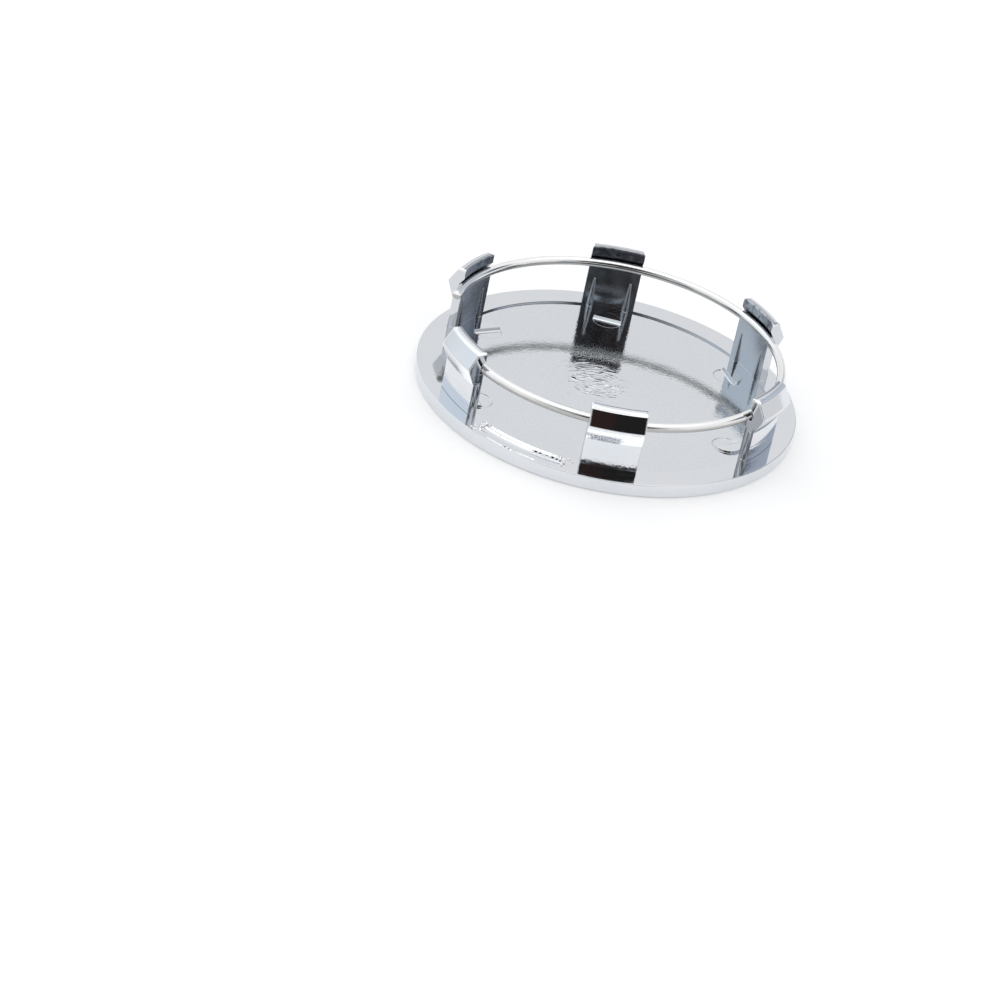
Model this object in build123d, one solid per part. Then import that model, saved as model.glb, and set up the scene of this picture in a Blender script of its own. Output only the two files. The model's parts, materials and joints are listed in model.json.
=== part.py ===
from build123d import *
from math import asin, atan, degrees
import os

# Wheel centre cap: a plated plastic moulding with six snap clips, and the split spring-wire
# ring that presses the clips outwards.
# Millimetres. The mirror face lies on z = 0 and looks down, and the clips point up along +Z.
# The origin is the middle of the mirror face, the front is -Y, and the ring's gap looks along -X.

# Disc
face_diameter = 76.0
rim_height = 2.8
face_edge_chamfer = 0.35
flange_edge_chamfer = 0.12
recess_diameter = 66.0
recess_depth = 0.35

# Snap clips, in order of height above the flange
clip_count = 6
first_clip_angle = 30.0
clip_width = 10.8
stem_thickness = 1.85
stem_height = 6.3
barb_rise = 3.4
barb_overhang = 1.65
lead_in_rise = 3.5
tip_width = 1.5
lip_height = 1.9
root_depth = 1.0

# Rounded edges of a clip
barb_radius = 0.35
outer_tip_radius = 0.5
inner_tip_radius = 0.3
corner_radius = 0.5

# Spring ring, of round wire while its width and height are equal, a little below the edges of the
# barbs, and the groove in the clips that it sits in, whose wall ends above the middle of the wire
wire_width = 1.8
wire_height = 1.8
wire_end_chamfer = 0.2
ring_gap_angle = 30.0
ring_gap_direction = 182.0
ring_drop = 0.15
groove_depth = 0.85
groove_wall_rise = 0.4
seat_gap = 0.05

# Tapered ribs on the inner face of each clip
rib_spacing = 7.5
rib_height = 6.3
rib_depth = 0.6
rib_foot_width = 1.4
rib_front_width = 0.55
rib_tip_share = 0.25

# Ejector-pin marks in the recess. Each place is the mark's direction from the middle, its setback
# from the recess wall and the direction in which its slope rises.
mark_diameter = 5.8
mark_land_height = 0.45
mark_sink = 0.15
mark_places = (
    (26.0, 5.6, 20.0),
    (90.0, 5.9, 81.0),
    (150.5, 5.0, 119.0),
    (210.5, 3.6, 200.0),
    (270.0, 5.0, 261.0),
    (325.5, 4.4, 302.0),
)

# Trimmed gate on the flange, between two clips
gate_direction = 242.0
gate_span = 29.0
gate_width = 2.4
gate_height = 0.35
gate_slope = 0.25
gate_edge_gap = 0.7

# Sizes that follow from those above
face_radius = face_diameter / 2
recess_radius = recess_diameter / 2
floor_z = rim_height - recess_depth
root_z = floor_z - root_depth
stem_outer_radius = recess_radius + stem_thickness
barb_tip_radius = stem_outer_radius + barb_overhang
tip_outer_radius = recess_radius + tip_width
stem_top_z = rim_height + stem_height
barb_z = stem_top_z + barb_rise
clip_top_z = barb_z + lead_in_rise
clip_angles = [first_clip_angle + 360 / clip_count * n for n in range(clip_count)]
lip_z = clip_top_z - lip_height
groove_wall_radius = recess_radius + groove_depth
ring_radius = groove_wall_radius - seat_gap - wire_width / 2
ring_z = barb_z - ring_drop
groove_top_z = ring_z + groove_wall_rise
ledge_z = ring_z - wire_height / 2 - seat_gap
ring_tip_turn = degrees(atan(wire_end_chamfer / ring_radius))
rib_turn = degrees(asin(rib_spacing / 2 / recess_radius))
mark_radius = mark_diameter / 2


def section(*corners):
    """Face in the XZ plane with these corners: (radius, height), or (radius, height, rounding)."""
    points = [corner[:2] for corner in corners]
    roundings = [corner[2] if len(corner) == 3 else 0 for corner in corners]
    return Plane.XZ * make_face(FilletPolyline(*points, radius=roundings, close=True))


def around_the_clips(shapes):
    """The shapes, made on the +X side, copied to every clip's place."""
    return [Rot(0, 0, angle) * shape for angle in clip_angles for shape in shapes]


def disc():
    """Mirror disc with its rim, its flange and the shallow recess in its back."""
    half = section(
        (0, 0),
        (face_radius - face_edge_chamfer, 0),
        (face_radius, face_edge_chamfer),
        (face_radius, rim_height - flange_edge_chamfer),
        (face_radius - flange_edge_chamfer, rim_height),
        (recess_radius, rim_height),
        (recess_radius, floor_z),
        (0, floor_z),
    )
    return revolve(half, Axis.Z)


def clip():
    """One snap clip on the +X side, with its barb outside and the ring's groove inside."""
    profile = section(
        (recess_radius, root_z),
        (stem_outer_radius, root_z),
        (stem_outer_radius, stem_top_z),
        (barb_tip_radius, barb_z, barb_radius),
        (tip_outer_radius, clip_top_z, outer_tip_radius),
        (recess_radius, clip_top_z, inner_tip_radius),
        (recess_radius, lip_z),
        (groove_wall_radius, groove_top_z),
        (groove_wall_radius, ledge_z),
        (recess_radius, ledge_z),
    )
    whole_ring = revolve(profile, Axis.Z)
    strip = Pos(0, 0, root_z) * Box(
        barb_tip_radius, clip_width, clip_top_z - root_z, align=(Align.MIN, Align.CENTER, Align.MIN)
    )
    top_corners = strip.edges().filter_by(Axis.X).group_by(Axis.Z)[-1]
    return whole_ring & fillet(top_corners, corner_radius)


def rib():
    """One tapered rib on the +X side, rooted in the stem behind it."""
    outline = [
        (stem_thickness / 2, rib_foot_width / 2),
        (0, rib_foot_width / 2),
        (-rib_depth, rib_front_width / 2),
        (-rib_depth, -rib_front_width / 2),
        (0, -rib_foot_width / 2),
        (stem_thickness / 2, -rib_foot_width / 2),
    ]
    foot = make_face(Polyline(*outline, close=True))
    tip = Pos(0, 0, rib_height) * scale(foot, rib_tip_share)
    return Pos(recess_radius, 0, floor_z) * loft([foot, tip], ruled=True)


def pin_mark():
    """One ejector-pin mark: its sunk half, which is cut out, and its raised half behind the slope."""
    rise = mark_sink + mark_land_height
    pin = Pos(0, 0, -mark_sink) * Cylinder(
        mark_radius, rise, align=(Align.CENTER, Align.CENTER, Align.MIN)
    )
    outline = Polyline(
        (-rise / 2, -mark_sink),
        (rise / 2, mark_land_height),
        (mark_radius, mark_land_height),
        (mark_radius, -mark_sink),
        close=True,
    )
    raised_side = extrude(Plane.XZ * make_face(outline), mark_radius, both=True)
    return pin - raised_side, pin & raised_side


def with_pin_marks(blank):
    """The blank disc with every ejector-pin mark sunk into its floor and raised from it."""
    sunk, raised = pin_mark()
    places = [
        Rot(0, 0, direction) * Pos(recess_radius - setback, 0, floor_z) * Rot(0, 0, slope - direction)
        for direction, setback, slope in mark_places
    ]
    return blank - [place * sunk for place in places] + [place * raised for place in places]


def gate():
    """Low ridge that is left on the flange where the gate was trimmed off."""
    inner_radius = recess_radius + gate_edge_gap
    profile = section(
        (inner_radius, floor_z),
        (inner_radius + gate_width, floor_z),
        (inner_radius + gate_width, rim_height + gate_height),
        (inner_radius, rim_height + gate_height),
    )
    ridge = revolve(profile, Axis.Z, revolution_arc=gate_span)
    crest = ridge.faces().sort_by(Axis.Z)[-1]
    return Rot(0, 0, gate_direction - gate_span / 2) * chamfer(crest.edges(), gate_slope)


def spring_ring():
    """Split ring of drawn wire, with its gap and its chamfered ends."""
    middle = Plane.XZ * Pos(ring_radius, ring_z)
    wire = middle * Ellipse(wire_width / 2, wire_height / 2)
    end = middle * Pos(0, 0, wire_end_chamfer) * Ellipse(
        wire_width / 2 - wire_end_chamfer, wire_height / 2 - wire_end_chamfer
    )
    tip = loft([wire, end], ruled=True)
    arc = 360 - ring_gap_angle - 2 * ring_tip_turn
    far_tip = Rot(0, 0, arc) * mirror(tip, Plane.XZ)
    ring = revolve(wire, Axis.Z, revolution_arc=arc) + tip + far_tip
    return Rot(0, 0, ring_gap_direction + ring_gap_angle / 2 + ring_tip_turn) * ring


ribs = [Rot(0, 0, turn) * rib() for turn in (-rib_turn, rib_turn)]
cap_body = with_pin_marks(disc()) + around_the_clips([clip(), *ribs]) + gate()

os.makedirs("parts", exist_ok=True)
export_step(cap_body, "parts/cap_body.step")
export_step(spring_ring(), "parts/retaining_ring.step")
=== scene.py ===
"""Looks of a chromed wheel centre cap that lies face down, with its spring ring in the clips."""

import json
import math

import bpy
from mathutils import Matrix, Vector, noise


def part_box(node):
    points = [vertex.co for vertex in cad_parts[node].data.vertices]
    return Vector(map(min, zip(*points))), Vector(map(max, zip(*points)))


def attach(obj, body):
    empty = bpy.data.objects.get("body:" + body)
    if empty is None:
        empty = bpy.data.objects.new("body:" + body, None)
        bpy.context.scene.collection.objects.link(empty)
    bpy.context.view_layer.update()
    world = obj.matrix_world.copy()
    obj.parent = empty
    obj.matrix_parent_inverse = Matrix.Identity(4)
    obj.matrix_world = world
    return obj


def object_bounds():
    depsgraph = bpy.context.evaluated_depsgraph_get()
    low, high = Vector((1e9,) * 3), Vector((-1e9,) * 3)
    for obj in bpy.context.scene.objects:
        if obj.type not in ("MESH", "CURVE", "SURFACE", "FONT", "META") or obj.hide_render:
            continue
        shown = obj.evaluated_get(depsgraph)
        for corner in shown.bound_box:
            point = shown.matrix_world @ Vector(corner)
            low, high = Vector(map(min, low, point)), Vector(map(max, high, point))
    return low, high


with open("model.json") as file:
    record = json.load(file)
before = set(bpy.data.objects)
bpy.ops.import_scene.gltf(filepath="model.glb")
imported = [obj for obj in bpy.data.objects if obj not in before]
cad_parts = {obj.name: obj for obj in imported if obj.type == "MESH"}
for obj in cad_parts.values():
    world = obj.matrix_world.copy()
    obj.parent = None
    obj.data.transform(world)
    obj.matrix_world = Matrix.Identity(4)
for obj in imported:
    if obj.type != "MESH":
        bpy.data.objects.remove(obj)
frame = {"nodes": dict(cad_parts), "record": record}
cad_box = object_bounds()

# Lengths below are millimetres and angles are degrees, as in the part. The scene is in metres.
MM = 0.001
full_turn = 360.0
white = (1.0, 1.0, 1.0)

# Camera, found from the outline, the clips and the wire in the picture
camera_place = (-58.34, -553.81, 299.52)
camera_aim = (-19.56, -46.78, 0.0)
camera_roll = 11.81
camera_lens = 115.35
sensor_width = 36.0

# Heights of the cap that its finish follows, from the frame
mounts = {mount["name"]: Vector(mount["pos_m"]) / MM for mount in frame["record"]["mounts"]}
ring_low, ring_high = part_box("retaining_ring")
rim_height = mounts["flange_seat"].z
stem_top = mounts["snap_clips"].z
ring_height = (ring_low.z + ring_high.z) / 2 / MM
tip_height = cad_box[1][2] / MM

# Other heights and radii, as in the part
floor_height = 2.45
lip_height = 14.1
recess_radius = 33.0
stem_radius = 34.85
ring_radius = 32.9
tip_radius = 34.5

# Clips: direction of the first one, turn from one to the next, and half of the turn that one fills
clip_angle = 30.0
clip_pitch = 60.0
clip_half_turn = 9.0

# White table
table_radius = 3000.0
table_sides = 64
table_drop = 0.02
table_albedo = 0.8
table_glow = 0.305

# Light: a white tent, paler with its height, and a soft box overhead with a dimmer vent in it
tent_span = (5.0, 55.0)
tent_low = (0.80, 0.80, 0.805)
tent_middle = (0.97, 0.97, 0.98)
overhead_span = (52.0, 66.0)
overhead = (1.38, 1.38, 1.38)
vent_azimuth = 90.0
vent_elevation = 80.0
vent_span = (17.0, 9.0)
vent = (0.93, 0.93, 0.94)

# Panels of the tent, seen as ovals: azimuth, elevation, half width, half height, softness of the border
# and colour. The last one is the tent's opening, and a curtain hangs in a part of it.
panels = (
    (137.0, 48.0, 18.0, 12.0, 0.4, (1.35, 1.35, 1.35)),
    (156.0, 27.0, 34.0, 20.0, 0.5, (0.93, 0.99, 1.05)),
    (35.0, 26.0, 36.0, 15.0, 0.2, (0.47, 0.52, 0.60)),
    (13.0, 27.0, 11.0, 12.0, 0.4, (0.06, 0.07, 0.085)),
    (-93.0, 26.0, 43.0, 26.0, 0.45, (0.30, 0.31, 0.33)),
    (-83.0, 20.0, 27.0, 20.0, 0.15, (0.018, 0.017, 0.016)),
)
curtain_span = (-83.0, -89.0)
curtain = (0.030, 0.018, 0.016)

# Regions of the plate. A span is where a region begins and where it is full, by height, by distance
# from the axis, by turn, or by how far the surface faces up or away from the axis, from -1 to 1. A band
# is the middle of a region and its reach to both sides.
level_span = (0.8, 0.95)
recess_span = (recess_radius + 0.02, recess_radius - 0.02)
floor_span = (floor_height + 0.18, floor_height + 0.14)
flange_span = (recess_radius, recess_radius + 0.05)
facing_in_span = (-0.2, -0.4)
inner_face_span = (stem_radius - 0.6, stem_radius - 0.8)
rib_band = (recess_radius - 0.5, 0.9)
rib_slope_span = (0.7, 0.5)
inside_span = (floor_height + 0.02, floor_height + 0.06)
facing_out_span = (0.25, 0.5)
outside_span = (rim_height, rim_height + 0.02)
facing_down_span = (-0.2, -0.35)
overhang_span = (0.0, 0.3)
undercut_span = (stem_top - 0.1, stem_top + 0.1)
upright_span = (0.45, 0.3)
sideways_span = (0.4, 0.25)
side_span = (recess_radius - 0.1, recess_radius)
tip_span = (tip_height - 0.7, tip_height - 0.3)
tip_facing_span = (-0.3, -0.1)
# Where a dark reflection is painted as a line on the tips
dark_reflection_band = (recess_radius + 0.45, 0.2)
clip_span = (clip_half_turn + 0.1, clip_half_turn - 0.1)
step_band = (recess_radius, 0.6)
step_span = (rim_height + 0.2, rim_height + 0.1)
foot_reach = 0.6
lip_reach = 0.8
corner_shade_reach = 0.13

# Roughness of the metals: grains to a millimetre, detail and harshness of the noise, the two levels
# of the noise between which the roughness changes, and the roughness at each
plate_roughness = (0.35, 2.0, 0.5, 0.3, 0.7, 0.015, 0.03)
flange_roughness = (1.2, 2.0, 0.5, 0.3, 0.7, 0.04, 0.06)
floor_roughness = (2.2, 3.0, 0.5, 0.2, 0.8, 0.05, 0.08)
inside_roughness = (0.3, 2.0, 0.5, 0.3, 0.7, 0.18, 0.24)
side_roughness = 0.045
wire_roughness = (0.5, 1.0, 0.5, 0.3, 0.7, 0.12, 0.15)
torn_roughness = (1.5, 2.0, 0.5, 0.3, 0.7, 0.03, 0.08)

# Fine relief of the plate: factor on z, which draws the noise out upright where it is small, grains to
# a millimetre, detail and height
grain_relief = (1.0, 2.6, 1.0, 0.010)
flow_relief = (1.0, 1.0, 3.0, 0.006)
streak_relief = (0.15, 4.0, 3.0, 0.008)
swell_relief = (1.0, 0.5, 1.0, 0.004)
scuff_relief = (0.12, 1.1, 1.0, 0.16)
fur_relief = (0.5, 3.5, 2.0, 0.05)
flange_grain = 0.3
flow_arcs = (0.3, 0.3, 1.6)
scuff_span = (stem_top + 0.5, stem_top - 0.5)
fur_band = (4.66, 1.2)

# Broad relief: the tips slope outwards a little, and so does the floor
crown_span = (tip_height - 0.6, tip_height - 0.1)
crown_fall = 0.17
dome_span = (0.0, recess_radius - 1.0)
dome_fall = 0.38

# Small roundings of the plate's edges, larger on the barbs and tips
edge_radius = 0.22
tip_edge_radius = 0.5
edge_samples = 8
barb_height_span = (tip_height - 4.4, tip_height - 3.9)
barb_radius_span = (tip_radius - 0.7, tip_radius - 0.4)

# Colours of the plate
chrome_tint = (0.74, 0.77, 0.805)
chrome_tint_warm = (0.76, 0.775, 0.80)
satin_tint = (0.71, 0.74, 0.775)
inside_tint = (0.52, 0.555, 0.59)
# Colour inside the clips towards the left of the cap, darker than the one above
inside_tint_left = (0.37, 0.395, 0.43)
lip_tint_dark = (0.22, 0.24, 0.28)
# Painted shade in the groove behind each clip's lip
groove_shade_tint = (0.22, 0.23, 0.26)
side_tint = (0.65, 0.67, 0.70)
side_tint_dark = (0.22, 0.23, 0.26)
# Painted highlight: the crests of the tips are brighter than the plate
tip_highlight_tint = (0.96, 0.96, 0.97)
# Painted shade in the corners between the clips and the flange
corner_shade_tint = (0.48, 0.51, 0.56)
# Painted reflection: a dark line along the inner part of the tips
dark_reflection_tint = (0.30, 0.30, 0.36)
# Painted highlight: the undercuts of the barbs are brighter than the plate
undercut_highlight_tint = (0.98, 0.98, 0.98)
# Painted reflection: dark specks low on the undercuts
dark_mottle_reflection_tint = (0.16, 0.16, 0.20)
# Painted highlight: the torn plating is much brighter than the plate's chrome
torn_highlight_tint = (0.97, 0.97, 0.975)

# Patches on the plate: grains to a millimetre, detail and harshness of the noise, and the two levels of
# the noise between which a patch begins
flow_patches = (0.25, 1.0, 0.5, 0.40, 0.62)
warm_patches = (0.15, 2.0, 0.5, 0.35, 0.65)
satin_patches = (2.4, 3.0, 0.6, 0.40, 0.60)
lip_patches = (0.7, 2.0, 0.5, 0.42, 0.62)
drag_patches = (1.3, 2.0, 0.6, 0.46, 0.58)
mottle_patches = (6.0, 2.0, 0.5, 0.38, 0.52)

# Places of those patches: inside the clips the colour is darker towards the left, drag marks are on the
# lower sides of the front clips, and a mottled patch of painted dark reflection with a wandering border is
# low on each undercut
leftward_dark_span = (15.0, -15.0)
lip_span = (ring_height + 1.5, ring_height + 1.8)
groove_radius_span = (recess_radius + 0.02, recess_radius + 0.1)
groove_height_span = (lip_height + 0.2, lip_height)
drag_stretch = (1.0, 1.0, 0.08)
drag_height_span = (stem_top + 1.2, stem_top - 0.2)
drag_front_span = (-5.0, -12.0)
crest_span = (0.97, 0.9)
mottle_first_span = (-6.5, -5.0)
mottle_last_span = (6.5, 2.5)
mottle_height_span = (stem_top + 2.1, stem_top + 1.2)
mottle_border_grain = 0.8
mottle_border_wander = 5.0

# Spring wire: plain above a wavering line, with painted shade below it
wire_tint = (0.93, 0.93, 0.925)
wire_shade_tint = (0.46, 0.455, 0.44)
wire_shade_span = (ring_height + 0.5, ring_height + 0.2)
wire_waver = 0.3
wire_waver_grain = 1.5
wire_waver_turns = 6.0

# Flow marks round the middle of the floor, which reach further on the left than on the right
marks_middle = (-1.5, 0.0)
marks_reach = 11.0
marks_shift = 3.5
marks_rings = 130
marks_spokes = 360
marks_lift = 0.014
marks_dip = 0.02
marks_depth = 0.8
marks_fade = (0.45, 1.0)

# Ripples, broad swirls and flecks of the flow marks: the size of a grain along the arcs and across them,
# or along x and y for the flecks, the height, and where the noise starts
ripple_size = (3.2, 0.45)
ripple_height = 0.06
swirl_size = (4.0, 1.3)
swirl_height = 0.05
swirl_start = 20.0
fleck_size = (1.5, 0.6)
fleck_height = 0.30
fleck_start = 40.0
fleck_level = 0.05
fleck_fade = (3.5, 7.5)

# Torn plastic where the gate was trimmed off, each bit with its direction, radius, height, and half of
# its length, width and thickness
gate_bits = (
    (226.2, 34.15, 3.05, 0.50, 0.28, 0.50),
    (227.2, 34.75, 3.10, 0.80, 0.60, 0.42),
    (226.9, 35.60, 2.95, 0.50, 0.60, 0.40),
    (228.3, 35.30, 3.10, 0.70, 0.45, 0.32),
    (228.0, 36.40, 2.80, 0.55, 0.30, 0.24),
    (225.6, 36.40, 2.80, 0.42, 0.30, 0.40),
    (226.5, 37.00, 2.80, 0.45, 0.24, 0.30),
    (225.2, 37.05, 2.80, 0.32, 0.22, 0.28),
    (256.0, 34.40, 3.05, 0.30, 0.25, 0.24),
    (256.4, 35.30, 2.95, 0.28, 0.40, 0.26),
    (256.2, 36.20, 2.80, 0.30, 0.25, 0.20),
    (257.4, 33.45, 2.75, 0.35, 0.20, 0.24),
    (258.9, 34.30, 2.80, 0.22, 0.18, 0.14),
)
bit_sides = 9
bit_rings = 6
bit_unevenness = 0.7
bit_grain = 1.7
bit_noise_step = 7.0

# Torn studs on the gate and on the ridge beside it: direction, radius, height and half size, all tilted
# the same way
gate_studs = (
    (247.0, 35.20, 3.15, 0.23),
    (248.5, 35.15, 3.15, 0.20),
    (250.7, 35.15, 3.15, 0.14),
    (252.6, 35.20, 3.15, 0.24),
    (254.0, 35.30, 3.15, 0.20),
    (255.2, 35.50, 3.15, 0.17),
    (238.6, 37.50, 2.88, 0.16),
    (239.9, 37.55, 2.86, 0.13),
    (241.2, 37.55, 2.86, 0.09),
    (241.9, 37.55, 2.86, 0.11),
    (243.0, 37.55, 2.86, 0.08),
)
stud_turn = -90.0
stud_tilt = 24.0

# Ragged ridges of plastic along the gate and on the edge of the rim beside it: start, end, radius and
# height of the foot, reach of the inner and of the outer flank, height of the crest, and unevenness
gate_ridges = (
    (227.5, 256.3, 34.20, 3.13, 0.22, 0.65, 0.30, 0.16),
    (227.5, 246.5, 35.30, 3.13, 0.25, 0.50, 0.24, 0.25),
    (231.5, 248.5, 37.50, 2.78, 0.18, 0.30, 0.22, 0.7),
)
ridge_step = 0.16
ridge_sink = 0.08
ridge_taper = (-0.01, 0.06)
ridge_grain = 1.1
ridge_fine_grain = 3.1
ridge_fine_share = 0.6
ridge_fine_start = 5.0
ridge_least = 0.1


class Nodes:
    """Short ways to add and join the nodes of one shader."""

    def __init__(self, tree):
        self.tree = tree
        tree.nodes.clear()

    def fill(self, socket, value):
        """Links an output to the socket, or sets its number or colour."""
        if isinstance(value, bpy.types.NodeSocket):
            self.tree.links.new(value, socket)
        else:
            socket.default_value = value

    def add(self, kind, inputs=None, **settings):
        """A new node with these settings and inputs."""
        node = self.tree.nodes.new("ShaderNode" + kind)
        for name, value in settings.items():
            setattr(node, name, value)
        for name, value in (inputs or {}).items():
            self.fill(node.inputs[name], value)
        return node

    def math(self, operation, *values):
        """The result of one sum, such as ADD or POWER."""
        node = self.add("Math", operation=operation)
        for socket, value in zip(node.inputs, values):
            self.fill(socket, value)
        return node.outputs[0]

    def every(self, *shares):
        """The product of shares from 0 to 1."""
        product = shares[0]
        for share in shares[1:]:
            product = self.math("MULTIPLY", product, share)
        return product

    def total(self, *terms):
        """The sum of (value, weight) pairs."""
        total = self.math("MULTIPLY", *terms[0])
        for value, weight in terms[1:]:
            total = self.math("MULTIPLY_ADD", value, weight, total)
        return total

    def ramp(self, value, low, high, start=0.0, end=1.0):
        """A soft step from start, where the value is low, to end, where it is high."""
        inputs = {"Value": value, "From Min": low, "From Max": high, "To Min": start, "To Max": end}
        return self.add("MapRange", inputs, interpolation_type="SMOOTHSTEP").outputs[0]

    def near(self, value, middle, reach):
        """1 where the value is within half the reach of the middle, and 0 beyond the reach."""
        return self.ramp(self.math("ABSOLUTE", self.math("SUBTRACT", value, middle)), reach, reach / 2)

    def blend(self, share, first, second, kind="RGBA"):
        """A number, vector or colour between two."""
        # The node's first two inputs are the share, and after them each kind has two of its own.
        node = self.add("Mix", data_type=kind)
        index = ("FLOAT", "VECTOR", "RGBA").index(kind)
        sockets = (node.inputs[0], node.inputs[2 * index + 2], node.inputs[2 * index + 3])
        for socket, value in zip(sockets, (share, first, second)):
            self.fill(socket, value)
        return node.outputs[index]

    def stretch(self, place, factors):
        """The place with its x, y and z multiplied by these factors."""
        return self.add("VectorMath", {0: place, 1: factors}, operation="MULTIPLY").outputs[0]

    def noise(self, place, scale, detail=2.0, harshness=0.5):
        """Soft noise from 0 to 1, with about this many grains to a unit of place."""
        inputs = {"Vector": place, "Scale": scale, "Detail": detail, "Roughness": harshness}
        return self.add("TexNoise", inputs).outputs[0]

    def patches(self, place, scale, detail, harshness, low, high, start=0.0, end=1.0):
        """Such noise, turned into a soft step between two of its levels."""
        return self.ramp(self.noise(place, scale, detail, harshness), low, high, start, end)

    def vector(self, x, y, z):
        """A vector from its three parts."""
        return self.add("CombineXYZ", {0: x, 1: y, 2: z}).outputs[0]

    def place(self):
        """The point on the object in millimetres, as a vector and its x, y and z."""
        point = self.add("TexCoord").outputs["Object"]
        scaled = self.add("VectorMath", {0: point, "Scale": 1 / MM}, operation="SCALE").outputs[0]
        parts = self.add("SeparateXYZ", {0: scaled})
        return scaled, parts.outputs[0], parts.outputs[1], parts.outputs[2]

    def radius(self, x, y):
        """The distance from the axis."""
        return self.math("SQRT", self.math("MULTIPLY_ADD", x, x, self.math("MULTIPLY", y, y)))

    def facing(self, x, y):
        """How far the surface faces away from the axis and how far up, each from -1 to 1."""
        normal = self.add("NewGeometry").outputs["Normal"]
        away = self.add("VectorMath", {0: self.vector(x, y, 0.0)}, operation="NORMALIZE").outputs[0]
        outward = self.add("VectorMath", {0: normal, 1: away}, operation="DOT_PRODUCT").outputs["Value"]
        return outward, self.add("SeparateXYZ", {0: normal}).outputs[2]

    def finish(self, shader):
        """Joins the shader to the material's output."""
        self.add("OutputMaterial", {"Surface": shader.outputs[0]})


class PlateRegions:
    """A point of the plate, and its share, from 0 to 1, in each region with a finish of its own."""

    def __init__(self, nodes):
        self.nodes = nodes
        self.place, self.x, self.y, self.z = nodes.place()
        self.radius = nodes.radius(self.x, self.y)
        self.outward, self.upward = nodes.facing(self.x, self.y)
        angle = nodes.math("DEGREES", nodes.math("ARCTAN2", self.y, self.x))
        past_first = nodes.math("SUBTRACT", angle, clip_angle)
        self.turn = nodes.math("WRAP", past_first, clip_pitch / 2, -clip_pitch / 2)
        self.find_disc()
        self.find_clips()
        self.find_edges()

    def find_disc(self):
        """The floor and the flange."""
        nodes = self.nodes
        self.level = nodes.ramp(self.upward, *level_span)
        recessed = nodes.ramp(self.radius, *recess_span)
        self.floor = nodes.every(self.level, recessed, nodes.ramp(self.z, *floor_span))
        self.flange = nodes.every(self.level, nodes.ramp(self.radius, *flange_span))

    def find_clips(self):
        """The inside, outside, undercuts, sides and tips of the clips, and a line on the tips where a dark
        reflection is painted.
        """
        nodes = self.nodes
        facing_in = nodes.ramp(self.outward, *facing_in_span)
        inner_face = nodes.every(facing_in, nodes.ramp(self.radius, *inner_face_span))
        ribs = nodes.every(nodes.near(self.radius, *rib_band), nodes.ramp(self.upward, *rib_slope_span))
        either = nodes.math("MAXIMUM", inner_face, ribs)
        self.inside = nodes.every(either, nodes.ramp(self.z, *inside_span))
        facing_out = nodes.ramp(self.outward, *facing_out_span)
        self.outside = nodes.every(facing_out, nodes.ramp(self.z, *outside_span))
        facing_down = nodes.ramp(self.upward, *facing_down_span)
        overhang = nodes.ramp(self.outward, *overhang_span)
        self.undercut = nodes.every(facing_down, overhang, nodes.ramp(self.z, *undercut_span))
        upright = nodes.ramp(nodes.math("ABSOLUTE", self.upward), *upright_span)
        sideways = nodes.ramp(nodes.math("ABSOLUTE", self.outward), *sideways_span)
        self.side = nodes.every(upright, sideways, nodes.ramp(self.radius, *side_span))
        self.tip = nodes.every(nodes.ramp(self.z, *tip_span), nodes.ramp(self.outward, *tip_facing_span))
        self.seam = nodes.every(self.tip, self.level, nodes.near(self.radius, *dark_reflection_band))

    def find_edges(self):
        """The edges that stay crisp, and the corners between the clips and the flange, where shade is
        painted.
        """
        nodes = self.nodes
        foot = self.around(stem_radius, rim_height, foot_reach)
        step = nodes.every(nodes.near(self.radius, *step_band), nodes.ramp(self.z, *step_span))
        lip = self.around(recess_radius, lip_height, lip_reach)
        self.crisp = nodes.math("MAXIMUM", lip, nodes.math("MAXIMUM", foot, step))
        on_clip = nodes.ramp(nodes.math("ABSOLUTE", self.turn), *clip_span)
        # Where painted shade darkens the corner at each clip's foot
        self.corner = nodes.every(self.around(stem_radius, rim_height, corner_shade_reach), on_clip)

    def around(self, radius, height, reach):
        """The share near the circle of this radius and height."""
        nodes = self.nodes
        return nodes.every(nodes.near(self.radius, radius, reach), nodes.near(self.z, height, reach))


def rgba(colour):
    """An opaque colour from red, green and blue."""
    return (*colour, 1.0)


def new_material(name):
    """An empty node material and its nodes."""
    material = bpy.data.materials.new(name)
    material.use_nodes = True
    return material, Nodes(material.node_tree)


def seen_in_picture(nodes):
    """1 for what the camera, a reflection or glass sees, and 0 for light that falls on things."""
    path = nodes.add("LightPath").outputs
    either = nodes.math("MAXIMUM", path["Is Camera Ray"], path["Is Glossy Ray"])
    return nodes.math("MAXIMUM", either, path["Is Transmission Ray"])


def chrome_roughness(nodes, at):
    """Roughness of the plate: a mirror on the rim, and satin on the floor and inside the clips."""
    roughness = nodes.patches(at.place, *plate_roughness)
    layers = ((at.flange, flange_roughness), (at.floor, floor_roughness), (at.inside, inside_roughness))
    for share, values in layers:
        roughness = nodes.blend(share, roughness, nodes.patches(at.place, *values), "FLOAT")
    return nodes.blend(at.side, roughness, side_roughness, "FLOAT")


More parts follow.
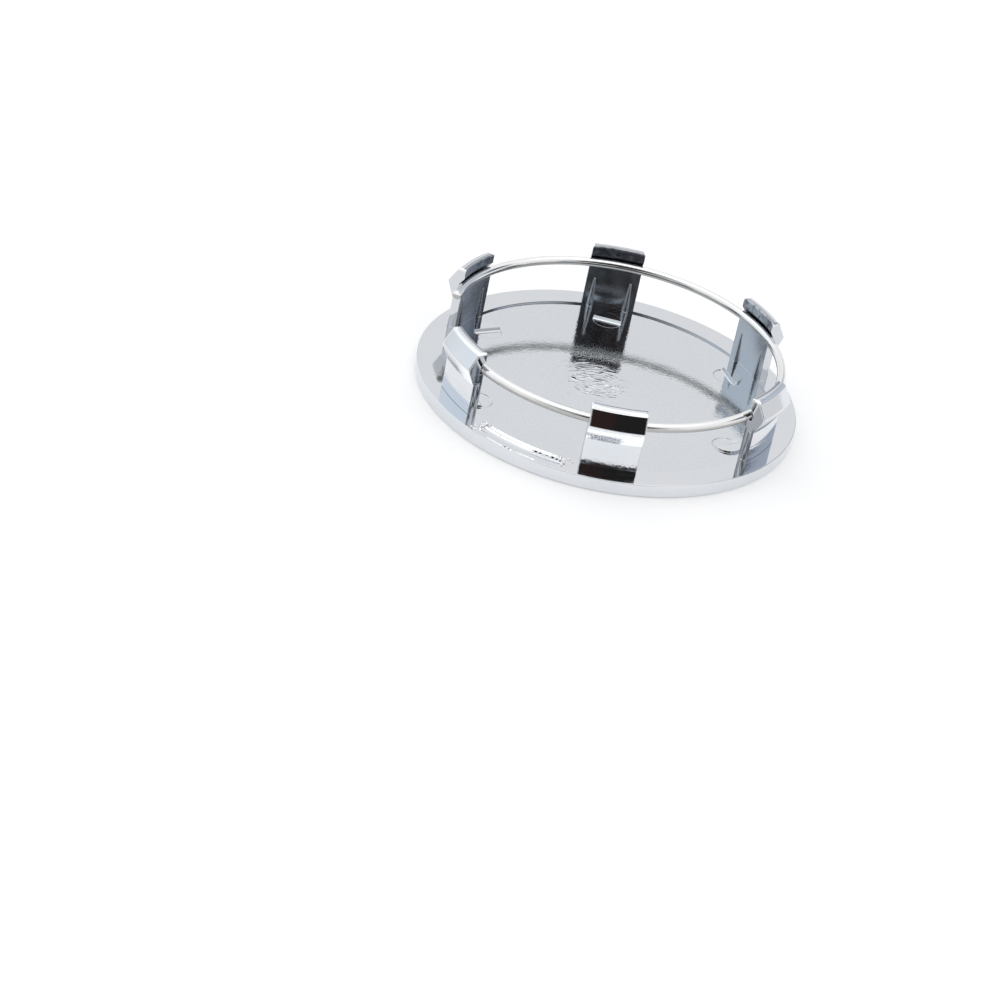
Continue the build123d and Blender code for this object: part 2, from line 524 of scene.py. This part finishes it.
def chrome_relief(nodes, at):
    """Height of the plate's relief above its plain surface, in millimetres."""
    grained = nodes.math("MAXIMUM", at.floor, nodes.math("MULTIPLY", at.flange, flange_grain))
    arcs = nodes.stretch(nodes.vector(at.x, at.y, at.radius), flow_arcs)
    flowing = nodes.every(at.floor, nodes.patches(at.place, *flow_patches))
    scuffed = nodes.every(at.side, nodes.ramp(at.z, *scuff_span))
    furred = nodes.every(at.outside, nodes.near(at.z, *fur_band))
    layers = (
        (at.place, grained, grain_relief),
        (arcs, flowing, flow_relief),
        (at.place, at.outside, streak_relief),
        (at.place, 1.0, swell_relief),
        (at.place, scuffed, scuff_relief),
        (at.place, furred, fur_relief),
    )
    terms = []
    for place, share, (draw, scale, detail, height) in layers:
        texture = nodes.noise(nodes.stretch(place, (1.0, 1.0, draw)), scale, detail)
        terms.append((nodes.every(texture, share), height))
    crown = nodes.every(nodes.math("SUBTRACT", at.radius, recess_radius), nodes.ramp(at.z, *crown_span))
    dome = nodes.ramp(at.radius, *dome_span)
    return nodes.total(*terms, (crown, -crown_fall), (dome, -dome_fall))


def chrome_normal(nodes, at):
    """Direction of the plate's surface, with its small roundings and its relief."""
    barb = nodes.every(nodes.ramp(at.z, *barb_height_span), nodes.ramp(at.radius, *barb_radius_span))
    rounding = nodes.blend(barb, edge_radius * MM, tip_edge_radius * MM, "FLOAT")
    rounded = nodes.add("Bevel", {"Radius": rounding}, samples=edge_samples).outputs[0]
    plain = nodes.add("NewGeometry").outputs["Normal"]
    edges = nodes.blend(at.crisp, rounded, plain, "VECTOR")
    inputs = {"Height": chrome_relief(nodes, at), "Distance": MM, "Strength": 1.0, "Normal": edges}
    return nodes.add("Bump", inputs).outputs[0]


def inside_blotches_and_shade(nodes, at):
    """Colour inside the clips: darker towards the left, blotched on the lips, and painted shade in the
    grooves.
    """
    # Inside the clips the colour darkens towards the left
    colour = nodes.blend(nodes.ramp(at.x, *leftward_dark_span), rgba(inside_tint), rgba(inside_tint_left))
    blotched = nodes.every(nodes.patches(at.place, *lip_patches), nodes.ramp(at.z, *lip_span))
    colour = nodes.blend(blotched, colour, rgba(lip_tint_dark))
    behind_lip = nodes.ramp(at.radius, *groove_radius_span)
    # Painted shade: the groove behind the lip is darkened
    groove_shade = nodes.every(behind_lip, nodes.ramp(at.z, *groove_height_span))
    return nodes.blend(groove_shade, colour, rgba(groove_shade_tint))


def dragged_sides(nodes, at):
    """Colour of the clips' sides, with upright drag marks on the front ones."""
    marks = nodes.patches(nodes.stretch(at.place, drag_stretch), *drag_patches)
    front = nodes.ramp(at.y, *drag_front_span)
    dragged = nodes.every(marks, nodes.ramp(at.z, *drag_height_span), front)
    return nodes.blend(dragged, rgba(side_tint), rgba(side_tint_dark))


def painted_dark_mottles(nodes, at):
    """Share of the painted dark reflection, in specks, in a patch low on each undercut."""
    specks = nodes.patches(at.place, *mottle_patches)
    wander = nodes.noise(at.place, mottle_border_grain)
    across = nodes.math("MULTIPLY_ADD", wander, mottle_border_wander, at.turn)
    patch = nodes.every(nodes.ramp(across, *mottle_last_span), nodes.ramp(across, *mottle_first_span))
    return nodes.every(at.undercut, specks, patch, nodes.ramp(at.z, *mottle_height_span))


def chrome_colour(nodes, at):
    """Colour of the plate, one layer over the other."""
    warm = nodes.patches(at.place, *warm_patches)
    colour = nodes.blend(warm, rgba(chrome_tint), rgba(chrome_tint_warm))
    satin = nodes.every(at.floor, nodes.patches(at.place, *satin_patches))
    # Where a highlight is painted on the upward crests of the tips
    crest = nodes.every(at.tip, nodes.ramp(at.upward, *crest_span))
    layers = (
        (satin, rgba(satin_tint)),
        (at.inside, inside_blotches_and_shade(nodes, at)),
        (at.side, dragged_sides(nodes, at)),
        # Painted highlight on the crests
        (crest, rgba(tip_highlight_tint)),
        # Painted dark reflection along the tips
        (at.seam, rgba(dark_reflection_tint)),
        # Painted highlight on the undercuts
        (at.undercut, rgba(undercut_highlight_tint)),
        # Painted shade in the corners at the clips' feet
        (at.corner, rgba(corner_shade_tint)),
        # Painted reflection of something dark, as specks low on each undercut
        (painted_dark_mottles(nodes, at), rgba(dark_mottle_reflection_tint)),
    )
    for share, layer in layers:
        colour = nodes.blend(share, colour, layer)
    return colour


def chrome_plate():
    """Mirror chrome: satin on the floor, dull inside the clips, streaky outside them."""
    material, nodes = new_material("chrome_plate")
    at = PlateRegions(nodes)
    surface = {
        "Base Color": chrome_colour(nodes, at),
        "Metallic": 1.0,
        "Roughness": chrome_roughness(nodes, at),
        "Normal": chrome_normal(nodes, at),
    }
    nodes.finish(nodes.add("BsdfPrincipled", surface))
    return material


def spring_wire():
    """Drawn steel wire, bright on its upper side, with painted shade below."""
    material, nodes = new_material("spring_wire")
    place, x, y, z = nodes.place()
    across = nodes.math("SUBTRACT", nodes.radius(x, y), ring_radius)
    turn = nodes.math("ARCTAN2", nodes.math("SUBTRACT", z, ring_height), across)
    along = nodes.math("MULTIPLY", nodes.math("ARCTAN2", y, x), wire_waver_turns)
    waver = nodes.noise(nodes.vector(turn, along, 0.0), wire_waver_grain)
    wavering = nodes.math("ADD", z, nodes.math("MULTIPLY", waver, wire_waver))
    # Painted shade on the wire below the wavering line
    tint = nodes.blend(nodes.ramp(wavering, *wire_shade_span), rgba(wire_tint), rgba(wire_shade_tint))
    roughness = nodes.patches(place, *wire_roughness)
    surface = {"Base Color": tint, "Metallic": 1.0, "Roughness": roughness}
    nodes.finish(nodes.add("BsdfPrincipled", surface))
    return material


def torn_plate():
    """Plating over torn plastic, crisp on every facet, with a painted highlight: its colour is much brighter
    than the rest of the plate.
    """
    material, nodes = new_material("torn_plate")
    roughness = nodes.patches(nodes.place()[0], *torn_roughness)
    surface = {"Base Color": rgba(torn_highlight_tint), "Metallic": 1.0, "Roughness": roughness}
    nodes.finish(nodes.add("BsdfPrincipled", surface))
    return material


def table_white():
    """White table that keeps the shadow and is white in the picture where nothing shades it."""
    material, nodes = new_material("table_white")
    matt = nodes.add("BsdfDiffuse", {"Color": rgba((table_albedo,) * 3)})
    glow = nodes.math("MULTIPLY", seen_in_picture(nodes), table_glow)
    light = nodes.add("Emission", {"Color": rgba(white), "Strength": glow})
    nodes.finish(nodes.add("AddShader", {0: matt.outputs[0], 1: light.outputs[0]}))
    return material


def new_object(name, points, faces, material, smooth=True):
    """A mesh object from points in millimetres, smooth or with crisp facets."""
    mesh = bpy.data.meshes.new(name)
    mesh.from_pydata([Vector(point) * MM for point in points], [], faces)
    if smooth:
        mesh.shade_smooth()
    mesh.materials.append(material)
    thing = bpy.data.objects.new(name, mesh)
    bpy.context.scene.collection.objects.link(thing)
    return thing


def add_to_cap(name, points, faces, material, smooth):
    """A piece of the plated moulding that only the looks have."""
    piece = new_object(name, points, faces, material, smooth)
    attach(piece, "root")


def polar(direction, radius, height):
    """A point from its direction, its distance from the axis and its height."""
    turn = math.radians(direction)
    return Vector((radius * math.cos(turn), radius * math.sin(turn), height))


def smooth_step(value, low, high):
    """0 where the value is low, 1 where it is high, and soft between."""
    share = min(max((value - low) / (high - low), 0.0), 1.0)
    return share * share * (3 - 2 * share)


def grid_faces(rows, columns):
    """Faces of a grid of points whose last column meets its first."""
    faces = []
    for row in range(rows - 1):
        here = row * columns
        there = here + columns
        for column in range(columns):
            beside = (column + 1) % columns
            faces.append((here + column, here + beside, there + beside, there + column))
    return faces


def closed_faces(rows, columns):
    """Faces of such a grid, closed by a fan at each end to the two points that follow it."""
    first_end = rows * columns
    last = (rows - 1) * columns
    faces = grid_faces(rows, columns)
    for column in range(columns):
        beside = (column + 1) % columns
        faces.append((first_end, beside, column))
        faces.append((first_end + 1, last + column, last + beside))
    return faces


def arc_noise(place, size, start=0.0):
    """Noise that is drawn out along circles round the middle of the flow marks."""
    along, across = size
    return noise.noise(Vector((place.x / along, place.y / along, place.length / across + start)))


def flow_height(place, share):
    """Height of the flow marks above the floor, where share runs from 0 in the middle to 1 at the border."""
    ripple = arc_noise(place, ripple_size)
    swirl = arc_noise(place, swirl_size, swirl_start)
    fleck = noise.noise(Vector((place.x / fleck_size[0], place.y / fleck_size[1], fleck_start)))
    flecked = (1 - smooth_step(place.length, *fleck_fade)) * max(fleck - fleck_level, 0.0)
    fade = 1 - smooth_step(share, *marks_fade)
    height = marks_lift + ripple_height * ripple + swirl_height * swirl + fleck_height * flecked
    return fade * height - (1 - fade) * marks_dip


def build_flow_marks(material):
    """Ripples that the plastic left where it flowed in, as a thin closed sheet sunk in the floor."""
    middle = Vector((*marks_middle, floor_height))
    points = []
    for ring in range(1, marks_rings + 1):
        share = ring / marks_rings
        for spoke in range(marks_spokes):
            direction = full_turn * spoke / marks_spokes
            reach = marks_reach - marks_shift * math.cos(math.radians(direction))
            place = polar(direction, share * reach, 0.0)
            points.append(middle + place + Vector((0, 0, flow_height(place, share))))
    points.append(middle + Vector((0, 0, flow_height(Vector((0, 0, 0)), 0.0))))
    points.append(middle + Vector((-marks_shift, 0, -marks_depth)))
    add_to_cap("flow_marks", points, closed_faces(marks_rings, marks_spokes), material, smooth=True)


def bit(index, direction, radius, height, length, width, thickness):
    """Points and faces of one torn bit: a small uneven lump half sunk in the surface."""
    middle = polar(direction, radius, height)
    outward = polar(direction, 1.0, 0.0)
    along = Vector((-outward.y, outward.x, 0.0))
    up = Vector((0, 0, 1))
    ball = []
    for ring in range(1, bit_rings):
        fall = math.pi * ring / bit_rings
        for side in range(bit_sides):
            turn = 2 * math.pi * side / bit_sides
            ball.append(polar(math.degrees(turn), math.sin(fall), math.cos(fall)))
    ball += [up, -up]
    points = []
    for spot in ball:
        size = 1 + bit_unevenness * noise.noise(bit_grain * spot + bit_noise_step * index * up)
        reach = length * spot.x * along + width * spot.y * outward + thickness * spot.z * up
        points.append(middle + size * reach)
    return points, closed_faces(bit_rings - 1, bit_sides)


def stud(direction, radius, height, size):
    """Points and faces of one torn stud: a tilted block half sunk in the crest."""
    tilt = Matrix.Rotation(math.radians(-stud_tilt), 3, "Y")
    turn = Matrix.Rotation(math.radians(stud_turn), 3, "Z") @ tilt
    middle = polar(direction, radius, height)
    corners = ((-1, -1), (1, -1), (1, 1), (-1, 1))
    block = [(x, y, z) for z in (-1, 1) for x, y in corners]
    block += [(0, 0, -1), (0, 0, 1)]
    points = [middle + turn @ (size * Vector(corner)) for corner in block]
    return points, closed_faces(2, len(corners))


def ridge(start, end, radius, foot, inner, outer, height, unevenness):
    """Points and faces of one ragged ridge with a sharp crest, its foot sunk in the surface."""
    steps = round(math.radians(end - start) * radius / ridge_step)
    low = foot - ridge_sink
    points = []
    for step in range(steps):
        share = step / (steps - 1)
        direction = start + share * (end - start)
        taper = min(smooth_step(share, *ridge_taper), smooth_step(1 - share, *ridge_taper))
        coarse = noise.noise(Vector((ridge_grain * direction, radius, 0.0)))
        fine = noise.noise(Vector((ridge_fine_grain * direction, radius, ridge_fine_start)))
        size = taper * max(1 + unevenness * (coarse + ridge_fine_share * fine), ridge_least)
        section = ((radius + outer, low), (radius, foot + size * height), (radius - inner, low))
        points += [polar(direction, *corner) for corner in section]
    points += [polar(direction, radius, foot - ridge_sink / 2) for direction in (start, end)]
    return points, closed_faces(steps, len(section))


def build_gate_scars(material):
    """Torn bits, studs and ragged ridges where the gate was trimmed off."""
    shapes = [bit(index, *values) for index, values in enumerate(gate_bits)]
    shapes += [stud(*values) for values in gate_studs]
    shapes += [ridge(*values) for values in gate_ridges]
    points = []
    faces = []
    for more_points, more_faces in shapes:
        start = len(points)
        points += more_points
        faces += [[start + corner for corner in face] for face in more_faces]
    add_to_cap("gate_scars", points, faces, material, smooth=False)


def build_table():
    """Round table top just under the cap."""
    directions = [full_turn * side / table_sides for side in range(table_sides)]
    points = [polar(direction, table_radius, -table_drop) for direction in directions]
    new_object("table", points, [range(table_sides)], table_white())


def vent_share(nodes, direction):
    """Share of the vent in the soft box overhead, seen in this direction."""
    climb = math.radians(vent_elevation)
    middle = polar(vent_azimuth, math.cos(climb), math.sin(climb))
    facing = nodes.add("VectorMath", {0: direction, 1: middle}, operation="DOT_PRODUCT").outputs["Value"]
    return nodes.ramp(nodes.math("DEGREES", nodes.math("ARCCOSINE", facing)), *vent_span)


def panel_share(nodes, azimuth, elevation, middle, height, half_width, half_height, softness):
    """Share of one oval panel of the tent, seen at this azimuth and elevation."""
    across = nodes.math("WRAP", nodes.math("SUBTRACT", azimuth, middle), full_turn / 2, -full_turn / 2)
    across = nodes.math("DIVIDE", across, half_width)
    upward = nodes.math("DIVIDE", nodes.math("SUBTRACT", elevation, height), half_height)
    return nodes.ramp(nodes.radius(across, upward), 1 + softness, 1 - softness)


def build_light():
    """White tent with its soft box overhead, its greyer sides and its dark opening on the camera's side."""
    world = bpy.data.worlds.new("white_tent")
    bpy.context.scene.world = world
    world.use_nodes = True
    nodes = Nodes(world.node_tree)
    direction = nodes.add("TexCoord").outputs["Generated"]
    parts = nodes.add("SeparateXYZ", {0: direction}).outputs
    azimuth = nodes.math("DEGREES", nodes.math("ARCTAN2", parts[1], parts[0]))
    elevation = nodes.math("DEGREES", nodes.math("ARCSINE", parts[2]))
    room = nodes.blend(nodes.ramp(elevation, *tent_span), rgba(tent_low), rgba(tent_middle))
    room = nodes.blend(nodes.ramp(elevation, *overhead_span), room, rgba(overhead))
    room = nodes.blend(vent_share(nodes, direction), room, rgba(vent))
    for *oval, colour in panels:
        share = panel_share(nodes, azimuth, elevation, *oval)
        room = nodes.blend(share, room, rgba(colour))
    # The curtain hangs in the last panel.
    hung = nodes.every(share, nodes.ramp(azimuth, *curtain_span))
    room = nodes.blend(hung, room, rgba(curtain))
    seen = nodes.add("LightPath").outputs["Is Camera Ray"]
    background = nodes.add("Background", {"Color": nodes.blend(seen, room, rgba(white)), "Strength": 1.0})
    nodes.add("OutputWorld", {"Surface": background.outputs[0]})


def build_camera():
    """Camera where the picture was taken from, turned about its own axis as the picture is."""
    place = Vector(camera_place)
    ahead = (Vector(camera_aim) - place).normalized()
    level = ahead.cross(Vector((0, 0, 1))).normalized()
    turn = Matrix.Rotation(math.radians(-camera_roll), 3, ahead)
    right = turn @ level
    up = right.cross(ahead)
    camera = bpy.data.objects.new("camera", bpy.data.cameras.new("camera"))
    axes = Matrix((right, up, -ahead)).transposed()
    camera.matrix_world = Matrix.Translation(place * MM) @ axes.to_4x4()
    camera.data.lens = camera_lens
    camera.data.sensor_width = sensor_width
    bpy.context.scene.collection.objects.link(camera)
    bpy.context.scene.camera = camera


def dress(node, material):
    """Gives a node of the part its finish."""
    slots = frame["nodes"][node].data.materials
    slots.clear()
    slots.append(material)


chrome = chrome_plate()
dress("cap_body", chrome)
dress("retaining_ring", spring_wire())
build_flow_marks(chrome)
build_gate_scars(torn_plate())
build_table()
build_light()
build_camera()

scene = bpy.context.scene
scene.view_settings.view_transform = "Standard"
